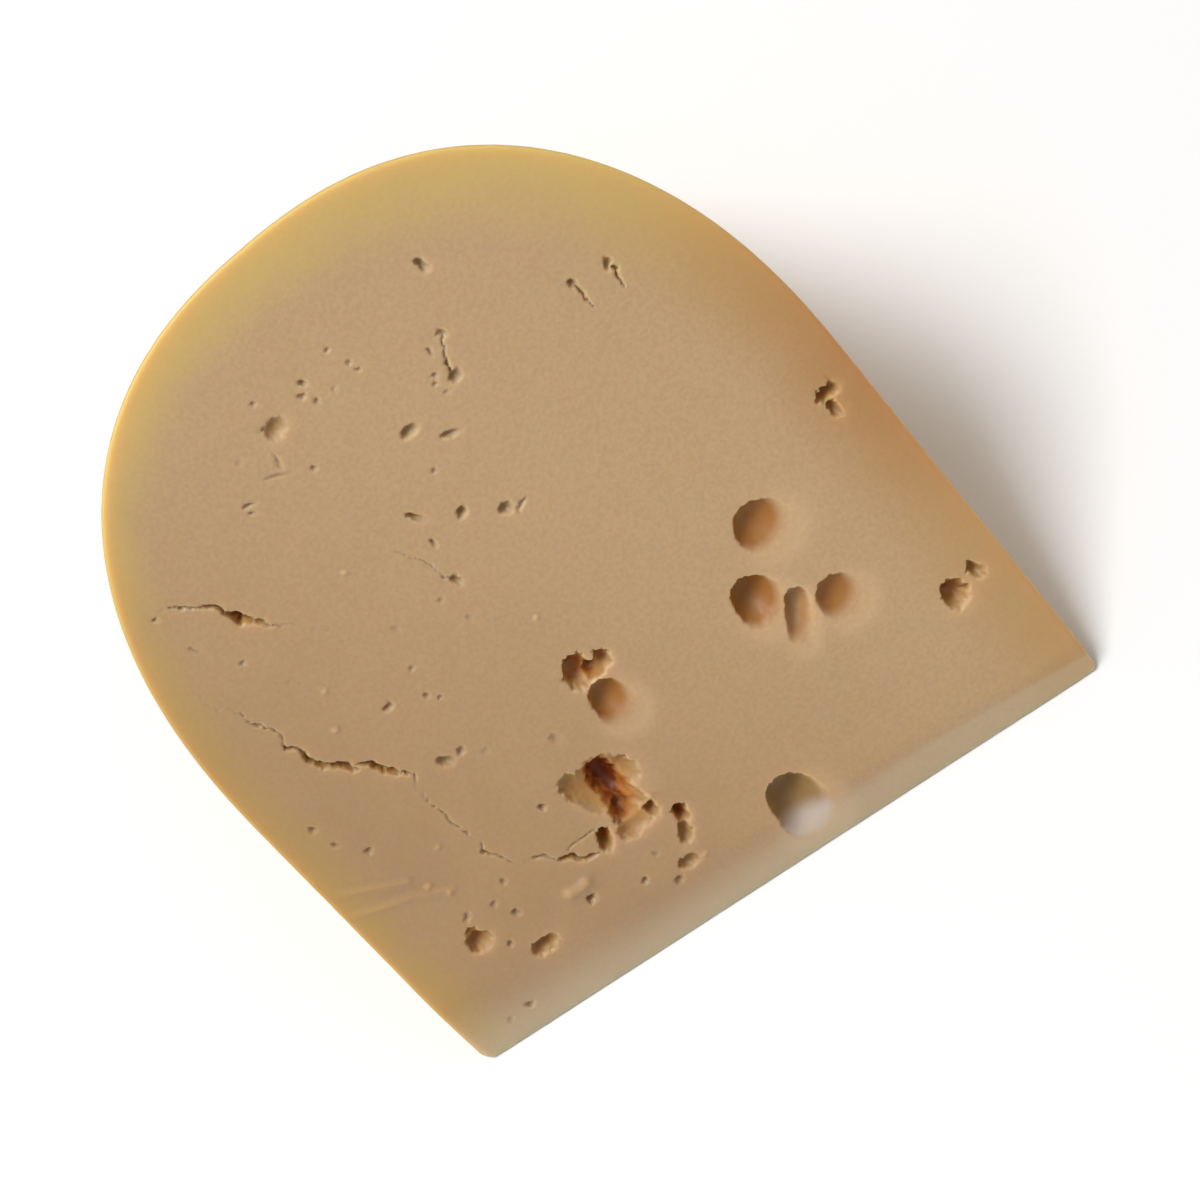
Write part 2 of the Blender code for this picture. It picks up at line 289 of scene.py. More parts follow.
# Raised places, which are ridges that the knife left, flaps and crumbs: height, width, and (across, up) along each.
UPPER_RIDGES = (
    (0.26, 0.6, ((-51.0, 47.0), (-48.0, 44.5), (-44.0, 42.0), (-41.0, 40.2))),
    (0.26, 0.6, ((-50.5, 41.7), (-46.0, 39.5), (-42.0, 38.0), (-37.0, 35.0))),
    (0.7, 0.9, ((-25.6, 23.2), (-24.0, 22.8), (-22.9, 22.9))),
    (0.4, 0.4, ((-10.3, 28.4), (-8.2, 26.9))),
    (0.35, 0.4, ((-39.5, 37.6), (-39.1, 37.6))),
    (0.3, 0.35, ((-38.0, 34.7), (-37.7, 34.9))),
    (0.3, 0.35, ((-34.7, 41.2), (-34.4, 41.2))),
    (0.35, 0.4, ((-33.8, 63.9), (-33.5, 63.8))),
    (0.35, 0.35, ((-3.5, 57.8), (-3.3, 57.9))),
    (0.3, 0.35, ((-18.4, 80.0), (-18.1, 80.0))),
    (0.3, 0.35, ((-31.2, 69.0), (-30.9, 69.1))),
    (0.3, 0.35, ((-8.0, 14.6), (-7.6, 14.8))),
)

CLOTH_PITCH = 1.0  # between the cheese cloth's threads, across and up
WAVE_HEIGHT = 0.12  # of the slow waves in a cut face
WAVE_LENGTH = 17.0
RIND_WAVE = 0.18
RIND_WAVE_LENGTH = 21.0
FLAT_REACH = 64.0  # how far down from the upper cut the rind is a little flat
FLAT_DEPTH = 2.4  # a third of the way down
FLAT_FADE = 30.0  # how far up from the lower cut it starts to be less flat
ROUND_WIDTH = 1.0  # how far in from a knife edge its rounding starts
ROUND_PASSES = 8

# The camera stands where the photograph was taken from, and looks at the wedge.
CAMERA_PLACE = (3.3, -177.5, 394.8)
CAMERA_AIM = (4.7, -14.7, 26.0)
CAMERA_ROLL = math.radians(-41.1)
CAMERA_LENS = 87.0


# Frames of the cut faces

def slope_frame(foot, slope, skew):
    """A sloping cut's frame: its foot at X = 0, and the directions across it, up it and out of it."""
    up = np.array((0.0, math.cos(slope), math.sin(slope)))
    out = np.array((-skew * math.tan(slope), -math.tan(slope), 1.0))
    out /= np.linalg.norm(out)
    return np.array((0.0, foot, 0.0)), np.cross(up, out), up, out


UPPER = slope_frame(CUT_SETBACK, CUT_ANGLE, CUT_SKEW)
TIP = slope_frame(TIP_FOOT, TIP_ANGLE, TIP_SKEW)
LOWER = (np.zeros(3), np.array((-1.0, 0.0, 0.0)), np.array((0.0, 1.0, 0.0)), np.array((0.0, 0.0, -1.0)))


def into_face(points, face):
    """Points as (across, up, out) in a face's frame."""
    foot, across, up, out = face
    return (points - foot) @ np.array((across, up, out)).T


def from_face(places, face):
    foot, across, up, out = face
    return foot + places @ np.array((across, up, out))


def soft_min(value, softness):
    """The lesser of value and 0, with the corner between them rounded."""
    near = np.maximum(softness - np.abs(value), 0.0)
    return np.minimum(value, 0.0) - near * near / (4.0 * softness)


def upper_base(places):
    """The upper cut's height above its own plane: 0, and below it on the steeper cut at the tip."""
    foot, across, up, out = UPPER
    tip_foot, _, _, tip_out = TIP
    drop = (foot - tip_foot) @ tip_out + places[:, 0] * (across @ tip_out) + places[:, 1] * (up @ tip_out)
    share = np.clip(places[:, 0] / (2.0 * HALF_HEIGHT) + 0.5, 0.0, 1.0)
    softness = CREASE_SOFT[0] + (CREASE_SOFT[1] - CREASE_SOFT[0]) * share
    return soft_min(-drop / (out @ tip_out), softness)


def crease_line():
    """Where the tip's steeper cut starts, across the upper cut."""
    ends = np.array(((-HALF_HEIGHT, 0.0), (HALF_HEIGHT, 0.0)))
    foot, across, up, _ = UPPER
    tip_foot, _, _, tip_out = TIP
    ends[:, 1] = -((foot - tip_foot) @ tip_out + ends[:, 0] * (across @ tip_out)) / (up @ tip_out)
    return resampled(ends, OUTLINE_STEP)


def lower_base(places):
    return np.zeros(len(places))


# The wheel

def resampled(line, step):
    """A polyline's points, spaced evenly about a step apart."""
    lengths = np.concatenate(((0.0,), np.cumsum(np.linalg.norm(np.diff(line, axis=0), axis=1))))
    places = np.linspace(0.0, lengths[-1], max(2, round(lengths[-1] / step)) + 1)
    return np.stack([np.interp(places, lengths, line[:, k]) for k in range(line.shape[1])], axis=1)


def wheel_profile():
    """(along the axis, radius) round the wheel's side, from the tip of its flat face at +X to that at -X."""
    turns = np.linspace(math.pi / 2, -math.pi / 2, 721)
    out, rise = np.maximum(np.cos(turns), 0.0), np.sin(turns)
    along = HALF_HEIGHT * np.sign(rise) * np.abs(rise) ** (2.0 / EDGE_POWER)
    radius = WHEEL_RADIUS - EDGE_DEPTH * (1.0 - out ** (2.0 / EDGE_POWER))
    start = (HALF_HEIGHT, TIP_FOOT - TIP_SKEW * HALF_HEIGHT)
    end = (-HALF_HEIGHT, TIP_FOOT + TIP_SKEW * HALF_HEIGHT)
    line = np.concatenate(((start,), np.stack((along, radius), axis=1), (end,)))
    return resampled(line, OUTLINE_STEP)


def on_wheel(profile, turn):
    along, radius = profile[:, 0], profile[:, 1]
    return np.stack((along, radius * np.cos(turn), radius * np.sin(turn)), axis=1)


def upper_turns(profile):
    """How far round the wheel's axis, from the ground, the upper cut meets the wheel's side."""
    low, high = np.zeros(len(profile)), np.full(len(profile), math.pi / 2)
    for _ in range(48):
        middle = (low + high) / 2
        places = into_face(on_wheel(profile, middle), UPPER)
        under = places[:, 2] < upper_base(places)
        low, high = np.where(under, middle, low), np.where(under, high, middle)
    return low


# Laying out points

def scattered(low, high, step, rng):
    """Points on a jittered triangular grid over a box."""
    rows = np.arange(low[1], high[1], step * math.sqrt(0.75))
    made = []
    for index, row in enumerate(rows):
        columns = np.arange(low[0] + step / 2 * (index % 2), high[0], step)
        made.append(np.stack((columns, np.full(len(columns), row)), axis=1))
    made = np.concatenate(made)
    return made + rng.uniform(-0.22, 0.22, made.shape) * step


def in_chunks(points, size=4000):
    return [points[start : start + size] for start in range(0, len(points), size)]


def inside(points, loop):
    """Which points a closed loop holds."""
    start, end = loop, np.roll(loop, -1, axis=0)
    run, rise = (end - start).T
    rise = np.where(rise == 0.0, 1e-12, rise)
    found = []
    for part in in_chunks(points):
        x, y = part[:, :1], part[:, 1:2]
        spans = (start[:, 1] > y) != (end[:, 1] > y)
        crossing = start[:, 0] + (y - start[:, 1]) / rise * run
        found.append((spans & (x < crossing)).sum(axis=1) % 2 == 1)
    return np.concatenate(found)


def along_line(points, line):
    """Each point's distance from a polyline, and how far along it the nearest place is, in its own points."""
    start, run = line[:-1], np.diff(line, axis=0)
    squared = np.maximum((run * run).sum(axis=1), 1e-12)
    distances, places = [], []
    for part in in_chunks(points):
        offset = part[:, None, :] - start
        share = np.clip((offset * run).sum(axis=2) / squared, 0.0, 1.0)
        gap = np.linalg.norm(offset - share[:, :, None] * run, axis=2)
        best = gap.argmin(axis=1)
        rows = np.arange(len(part))
        distances.append(gap[rows, best])
        places.append(best + share[rows, best])
    return np.concatenate(distances), np.concatenate(places)


def thinned(points, gap):
    """Drops points that share a cell of a grid this fine."""
    cells = np.floor(points / gap).astype(int)
    _, kept = np.unique(cells, axis=0, return_index=True)
    return points[np.sort(kept)]


def inset_rows(loop, depths):
    """Rows of points inside a closed loop, this far in from it."""
    ahead, behind = np.roll(loop, -1, axis=0), np.roll(loop, 1, axis=0)
    run = ahead - behind
    run /= np.linalg.norm(run, axis=1)[:, None]
    area = (loop[:, 0] * ahead[:, 1] - ahead[:, 0] * loop[:, 1]).sum()
    inward = np.stack((-run[:, 1], run[:, 0]), axis=1) * np.sign(area)
    return np.concatenate([loop + inward * depth for depth in depths])


# Holes

class Wall:
    """How a kind of hole is shaped: how far its rim strays, and how its wall runs down from the rim. It also holds how
    much the painted shade in it spares its soft side (clear), and how strong the painted glow beside that side is
    (glow).
    """

    def __init__(self, kind, stray, power, steep, soft, clear, glow):
        self.kind = kind
        self.stray = stray
        self.power = power
        self.steep = steep
        self.soft = soft
        self.clear = clear
        self.glow = glow


KINDS = ("eye", "tear", "pit")
# The masks that the paste's colours go by: painted shade in each kind of hole, and a painted glow beside the holes'
# soft sides.
MARKS = (*KINDS, "glow")
JOIN = 2.5  # holes that overlap join smoothly: 1 would add their depths, and more comes nearer to the deepest
EYE_WALL = Wall("eye", 0.18, 2.1, 0.5, 1.0, 0.2, 0.7)
TEAR_WALL = Wall("tear", 0.5, 2.2, 0.6, 0.6, 0.0, 0.4)
PIT_WALL = Wall("pit", 0.35, 2.0, 0.8, 0.6, 0.1, 0.0)
CRACK_STRAY = 0.24
SOFT_WAY = np.array((0.5, -0.87))  # the side of a hole that fades into the face
SOFT_FROM = -0.45  # the cosine, from straight that way, at which a rim starts to be soft
SOFT_REACH = 0.5  # how much further out the soft side's rim is
SOFT_SLOPE = 1.2  # how much more gradually it starts
SOFT_LEAN = 0.5  # how much shallower it is, and the other side deeper
GLOW_SHARE = 1.2  # how far out from its middle the painted glow beside a hole's soft side is palest
GLOW_REACH = 0.26
BLUNT = 0.8  # how much squarer a hole's ends are for being long
BLUNTEST = 3.2
STRAY_LENGTH = 0.85  # the longest wave in a rim's raggedness


def strays(points, seed):
    """How far ragged rims stray at each point, within about 1 in each direction."""
    return np.array([noise.turbulence_vector(Vector((*point, seed)) / STRAY_LENGTH, 3, False)[:2] for point in points])


class Hole:
    """A hole in a cut face: a bowl under an oval rim."""

    def __init__(self, place, wall):
        across, up, width, length, self.depth, turn = place
        self.centre = np.array((across, up))
        self.half = np.array((width, length)) / 2
        turn = math.radians(turn)
        self.axes = np.array(((math.cos(turn), math.sin(turn)), (-math.sin(turn), math.cos(turn))))
        self.blunt = min(2.0 + BLUNT * (self.half.max() / self.half.min() - 1.0), BLUNTEST)
        self.wall = wall

    def soft(self, points):
        """How gentle the wall is at each point: most on the soft side, and none opposite."""
        away = points - self.centre
        lean = away @ SOFT_WAY / np.maximum(np.linalg.norm(away, axis=1), self.half.min())
        return self.wall.soft * np.clip((lean - SOFT_FROM) / (1.0 - SOFT_FROM), 0.0, 1.0)

    def share(self, points):
        """How far out each point is, with 1 at the rim."""
        local = np.abs((points - self.centre) @ self.axes.T / self.half)
        out = (local**self.blunt).sum(axis=1) ** (1.0 / self.blunt)
        return out / (1.0 + SOFT_REACH * self.soft(points))

    def box(self, margin):
        half = np.linalg.norm(self.half) * (1.0 + SOFT_REACH) + margin
        return self.centre - half, self.centre + half

    def reach(self, points):
        """About how far each point is outside the rim."""
        return (self.share(points) - 1.0) * self.half.min()

    def dig(self, points):
        """How deep the hole is at each point."""
        share = np.minimum(self.share(points), 1.0)
        steep = self.wall.steep + SOFT_SLOPE * self.soft(points)
        lean = self.wall.soft * np.clip((points - self.centre) @ SOFT_WAY / self.half.mean(), -1.0, 1.0)
        return self.depth * (1.0 - SOFT_LEAN * lean) * (1.0 - share**self.wall.power) ** steep


def holes_of(eyes, tears, pits):
    kinds = ((eyes, EYE_WALL), (tears, TEAR_WALL), (pits, PIT_WALL))
    return [Hole(place, wall) for places, wall in kinds for place in places]


class Crack:
    """A crack in a cut face: a notch along a line that strays a little, about as wide as its points say."""

    def __init__(self, points, rng):
        self.line = resampled(np.array(points), CRACK_STEP)
        self.line[1:-1, :2] += rng.uniform(-CRACK_WANDER, CRACK_WANDER, (len(self.line) - 2, 2))
        self.line[:, 2] *= rng.uniform(*CRACK_WIDTHS, len(self.line))

    def gap(self, points):
        """Each point's distance from the crack's line, and how wide the crack is there."""
        distance, place = along_line(points, self.line[:, :2])
        return distance, np.interp(place, np.arange(len(self.line)), self.line[:, 2])

    def box(self, margin):
        margin += self.line[:, 2].max()
        return self.line[:, :2].min(axis=0) - margin, self.line[:, :2].max(axis=0) + margin

    def reach(self, points):
        distance, width = self.gap(points)
        return distance - width / 2

    def dig(self, points):
        distance, width = self.gap(points)
        return CRACK_DEPTH * width * np.clip(1.0 - 2.0 * distance / width, 0.0, 1.0)


class Ridge:
    """A rounded ridge along a line."""

    def __init__(self, height, width, line):
        self.height = height
        self.width = width
        self.line = np.array(line)

    def box(self, margin):
        margin += self.width
        return self.line.min(axis=0) - margin, self.line.max(axis=0) + margin

    def reach(self, points):
        return along_line(points, self.line)[0] - self.width

    def rise(self, points):
        distance, _ = along_line(points, self.line)
        return self.height * np.exp(-((distance / self.width) ** 2))


def slow_waves(points, size, length, seed):
    """A gentle unevenness."""
    return size * np.array([noise.fractal(Vector((*point, seed)) / length, 1.0, 2.0, 3) for point in points])


# Patches

def triangulated(outline, inner):
    """Triangles over a flat layout, as numbers of its points. Those in a hollow of the outline are left out."""
    points = np.concatenate((outline, inner))
    count = len(outline)
    edges = [(index, (index + 1) % count) for index in range(count)]
    made = geometry.delaunay_2d_cdt([Vector(point) for point in points], edges, [], 1, 1e-5, True)
    sources = np.array([source[0] for source in made[3]])
    faces = sources[np.array(made[2])]
    sides = points[np.roll(faces, -1, axis=1)] - points[faces]
    doubled_area = np.abs(sides[:, 0, 0] * sides[:, 1, 1] - sides[:, 0, 1] * sides[:, 1, 0])
    on_outline = (faces < count).all(axis=1)
    hollow = on_outline & ((doubled_area < LEAST_AREA) | ~inside(points[faces].mean(axis=1), outline))
    return faces[~hollow]


def face_points(outline, openings, creases, rng):
    """Where a cut face has points: a grid, rows along its outline, and a finer grid at its holes and cracks."""
    low, high = outline.min(axis=0), outline.max(axis=0)
    grid = scattered(low, high, FACE_STEP, rng)
    fine = scattered(low, high, FINE_STEP, rng)
    near = np.zeros(len(fine), dtype=bool)
    for opening in openings:
        grid = grid[opening.reach(grid) > FINE_MARGIN]
        box = opening.box(FINE_MARGIN)
        close = np.flatnonzero(((fine > box[0]) & (fine < box[1])).all(axis=1))
        near[close] |= opening.reach(fine[close]) < FINE_MARGIN
    closed = np.concatenate((outline, outline[:1]))
    grid = grid[along_line(grid, closed)[0] > OUTLINE_ROWS[-1] + FACE_STEP / 2]
    fine = fine[near]
    fine = fine[along_line(fine, closed)[0] > OUTLINE_ROWS[0] / 2]
    rows = inset_rows(outline, OUTLINE_ROWS)
    lines = [line + (0.0, offset) for line in creases for offset in CREASE_ROWS]
    lines = [line[along_line(line, closed)[0] > OUTLINE_ROWS[-1]] for line in lines]
    made = thinned(np.concatenate((rows, *lines, fine, grid)), LEAST_GAP)
    return made[inside(made, outline)]


class CutFace:
    """A cut face's relief, worked out where its points are."""

    def __init__(self, face, base, holes, cracks, ridges, seed):
        self.face = face
        self.base = base
        self.holes = holes
        self.cracks = cracks
        self.ridges = ridges
        self.seed = seed

    def dig(self, points):
        """How deep the face is dug at each point, and the masks of painted shade in its holes and cracks and of
        painted glow beside the holes, in the order of MARKS.
        """
        stray = strays(points, self.seed)
        depths = {kind: np.zeros(len(points)) for kind in KINDS}
        painted_shade_and_glow = {mark: np.zeros(len(points)) for mark in MARKS}
        for hole in self.holes:
            wall = hole.wall
            ragged = wall.stray * np.clip(hole.share(points), 0.0, 1.0)[:, None] ** 2
            places = points + ragged * stray
            depth = hole.dig(places)
            soft = hole.soft(places)
            depths[wall.kind] += depth**JOIN
            # The painted shade follows the hole's depth and is lighter on the soft side, where the light falls; the
            # painted glow lies just outside that side.
            painted_shade_and_glow[wall.kind] = np.maximum(painted_shade_and_glow[wall.kind], depth * (1.0 - wall.clear * soft))
            glow = wall.glow * soft * np.exp(-(((hole.share(places) - GLOW_SHARE) / GLOW_REACH) ** 2))
            painted_shade_and_glow["glow"] = np.maximum(painted_shade_and_glow["glow"], glow)
        deepest = np.max([total ** (1.0 / JOIN) for total in depths.values()], axis=0)
        for crack in self.cracks:
            depth = crack.dig(points + CRACK_STRAY * stray)
            deepest = np.maximum(deepest, depth)
            # A crack's depth is painted as shade too, along with the torn holes'.
            painted_shade_and_glow["tear"] = np.maximum(painted_shade_and_glow["tear"], depth)
        return deepest, np.stack([painted_shade_and_glow[mark] for mark in MARKS], axis=1)

    def rise(self, points):
        raised = slow_waves(points, WAVE_HEIGHT, WAVE_LENGTH, self.seed) - WAVE_HEIGHT
        for ridge in self.ridges:
            raised += ridge.rise(points)
        return raised

    def place(self, points, edge_distance):
        depth, marks = self.dig(points)
        raised = self.rise(points) * np.clip(edge_distance / 4.0, 0.0, 1.0)
        height = self.base(points) + raised - depth
        return from_face(np.column_stack((points, height)), self.face), marks


# The skin

class Skin:
    """The wedge's whole surface: its vertices, faces, and the distances that its materials read."""

    def __init__(self):
        rng = np.random.default_rng(SEED)
        self.profile = wheel_profile()
        self.turns = upper_turns(self.profile)
        self.turns[0] = self.turns[-1] = 0.0
        self.make_outlines()
        self.make_faces(rng)
        self.make_rind(rng)
        self.cut_faces = np.concatenate(self.cut_faces)
        self.vertices = np.concatenate(self.vertices)
        self.marks = np.concatenate(self.marks)
        self.cloth = np.concatenate(self.cloth)
        self.measure()
        self.round_edges()

    def make_outlines(self):
        top = on_wheel(self.profile, self.turns)
        bottom = on_wheel(self.profile, 0.0 * self.turns)
        self.tip = resampled(np.array((bottom[-1], bottom[0])), OUTLINE_STEP)[1:-1]
        count = len(top)
        self.top_ids = np.arange(count)
        self.bottom_ids = np.concatenate(((0,), np.arange(count, 2 * count - 2), (count - 1,)))
        self.tip_ids = np.arange(2 * count - 2, 2 * count - 2 + len(self.tip))
        self.top, self.bottom = top, bottom
        self.vertices = [top, bottom[1:-1], self.tip]
        self.marks = [np.zeros((2 * count - 2 + len(self.tip), len(MARKS)))]
        self.cloth = []
        self.count = 2 * count - 2 + len(self.tip)

    def add_patch(self, outline, outline_ids, inner):
        """A patch's faces, by the numbers of the skin's own vertices."""
        ids = np.concatenate((outline_ids, np.arange(self.count, self.count + len(inner))))
        self.count += len(inner)
        return ids[triangulated(outline, inner)]

    def make_faces(self, rng):
        self.cut_faces = []
        upper_holes = holes_of(UPPER_EYES, UPPER_TEARS, UPPER_PITS)
        upper_cracks = [Crack(points, rng) for points in UPPER_CRACKS]
        lower_holes = holes_of(LOWER_EYES, LOWER_TEARS, ())
        lower_cracks = [Crack(points, rng) for points in LOWER_CRACKS]
        ridges = [Ridge(*ridge) for ridge in UPPER_RIDGES]
        upper = CutFace(UPPER, upper_base, upper_holes, upper_cracks, ridges, 3.0)
        lower = CutFace(LOWER, lower_base, lower_holes, lower_cracks, (), 8.0)
        sides = ((self.top, self.top_ids, upper, (crease_line(),)), (self.bottom, self.bottom_ids, lower, ()))
        for rim, rim_ids, cut, creases in sides:
            loop = np.concatenate((rim, self.tip))
            outline = into_face(loop, cut.face)[:, :2]
            inner = face_points(outline, (*cut.holes, *cut.cracks, *cut.ridges), creases, rng)
            self.cut_faces.append(self.add_patch(outline, np.concatenate((rim_ids, self.tip_ids)), inner))
            edge_distance, _ = along_line(inner, np.concatenate((outline, outline[:1])))
            places, marks = cut.place(inner, edge_distance)
            self.vertices.append(places)
            self.marks.append(marks)

    def make_rind(self, rng):
        """The rind is laid out with the profile's length across and the way round the wheel up."""
        lengths = np.concatenate(((0.0,), np.cumsum(np.linalg.norm(np.diff(self.profile, axis=0), axis=1))))
        radius = self.profile[:, 1]
        upper = np.stack((lengths, radius * self.turns), axis=1)
        lower = np.stack((lengths, 0.0 * lengths), axis=1)
        self.cloth += [upper, lower[1:-1], np.zeros((len(self.tip), 2))]
        self.cloth += [np.zeros((len(marks), 2)) for marks in self.marks[1:]]
        outline = np.concatenate((lower, upper[-2:0:-1]))
        ids = np.concatenate((self.bottom_ids, self.top_ids[-2:0:-1]))
        grid = scattered(outline.min(axis=0), outline.max(axis=0), RIND_STEP, rng)
        closed = np.concatenate((outline, outline[:1]))
        grid = grid[along_line(grid, closed)[0] > OUTLINE_ROWS[1] + RIND_STEP / 2]
        inner = thinned(np.concatenate((inset_rows(outline, OUTLINE_ROWS[:2]), grid)), LEAST_GAP)
        inner = inner[inside(inner, outline)]
        inner = inner[along_line(inner, closed)[0] > OUTLINE_ROWS[0] / 2]
        self.rind_faces = self.add_patch(outline, ids, inner)
        edge_distance, _ = along_line(inner, closed)
        stations = np.stack([np.interp(inner[:, 0], lengths, self.profile[:, k]) for k in range(2)], axis=1)
        turn = inner[:, 1] / stations[:, 1]
        places = on_wheel(stations, turn)
        slopes = np.gradient(self.profile, lengths, axis=0)
        run = np.stack([np.interp(inner[:, 0], lengths, slopes[:, k]) for k in range(2)], axis=1)
        normal = np.stack((run[:, 1], -run[:, 0] * np.cos(turn), -run[:, 0] * np.sin(turn)), axis=1)
        raised = slow_waves(places[:, :2], RIND_WAVE, RIND_WAVE_LENGTH, 5.0) - RIND_WAVE
        raised *= np.clip(edge_distance / 6.0, 0.0, 1.0)
        below = np.clip(along_line(inner, upper)[0] / FLAT_REACH, 0.0, 1.0)
        above = np.clip(inner[:, 1] / FLAT_FADE, 0.0, 1.0)
        raised -= FLAT_DEPTH * above * 6.75 * below * (1.0 - below) ** 2
        self.vertices.append(places + normal * raised[:, None])
        self.marks.append(np.zeros((len(inner), len(MARKS))))
        self.cloth.append(inner)

    def measure(self):
        """Each vertex's distance from the edge of the rind and from the edge at the tip."""
        top = along_line(self.vertices, self.top)[0]
        bottom = along_line(self.vertices, self.bottom)[0]
        self.rim_distance = np.minimum(top, bottom)
        ends = (self.bottom[:1], self.tip[::-1], self.bottom[-1:])
        self.tip_distance = along_line(self.vertices, np.concatenate(ends))[0]

    def round_edges(self):
        """Rounds the knife's edges by drawing the points near them towards their neighbours."""
        faces = np.concatenate((self.cut_faces, self.rind_faces))
        pairs = np.concatenate((faces[:, (0, 1)], faces[:, (1, 2)], faces[:, (2, 0)]))
        pairs = np.unique(np.sort(pairs, axis=1), axis=0)
        count = np.bincount(pairs.ravel(), minlength=len(self.vertices))[:, None]
        near = np.minimum(self.rim_distance, self.tip_distance)
        weight = 0.6 * np.clip(1.0 - near / ROUND_WIDTH, 0.0, 1.0)[:, None]
        for _ in range(ROUND_PASSES):
            total = np.zeros_like(self.vertices)
            np.add.at(total, pairs[:, 0], self.vertices[pairs[:, 1]])
            np.add.at(total, pairs[:, 1], self.vertices[pairs[:, 0]])
            self.vertices += weight * (total / count - self.vertices)


# Materials

class Nodes:
    """A material's node tree, with short ways to add nodes and join them."""

    def __init__(self, name):
        self.material = bpy.data.materials.new(name)
        self.material.use_nodes = True
        self.tree = self.material.node_tree
        self.shader = self.tree.nodes["Principled BSDF"]

    def add(self, kind, inputs=(), **settings):
        node = self.tree.nodes.new("ShaderNode" + kind)
        for name, value in settings.items():
            setattr(node, name, value)
        for key, value in dict(inputs).items():
            self.put(node.inputs[key], value)
        return node

    def put(self, socket, value):
        if isinstance(value, bpy.types.NodeSocket):
            self.tree.links.new(value, socket)
        else:
            socket.default_value = value

    def attribute(self, name):
        return self.add("Attribute", attribute_name=name).outputs["Fac"]

    def noise(self, vector, scale, detail=2.0, roughness=0.5):
        inputs = {"Vector": vector, "Scale": scale, "Detail": detail, "Roughness": roughness}
        return self.add("TexNoise", inputs).outputs["Fac"]

    def math(self, operation, first, second=0.0):
        return self.add("Math", {0: first, 1: second}, operation=operation).outputs[0]

    def spread(self, value, low, high, to_low=0.0, to_high=1.0, kind="SMOOTHSTEP"):
        inputs = {"Value": value, "From Min": low, "From Max": high, "To Min": to_low, "To Max": to_high}
        return self.add("MapRange", inputs, interpolation_type=kind).outputs["Result"]

    def mix(self, share, first, second):
        node = self.add("Mix", data_type="RGBA")
        self.put(node.inputs["Factor"], share)
        self.put(node.inputs[6], first)
        self.put(node.inputs[7], second)
        return node.outputs[2]

    def bump(self, height, strength, distance, normal=None):
        inputs = {"Height": height, "Strength": strength, "Distance": distance}
        if normal:
            inputs["Normal"] = normal
        return self.add("Bump", inputs).outputs["Normal"]


def colour(red, green, blue):
    """A shade given as it shows on a screen, from 0 to 255, as linear light."""
    return (*[((value / 255 + 0.055) / 1.055) ** 2.4 for value in (red, green, blue)], 1.0)


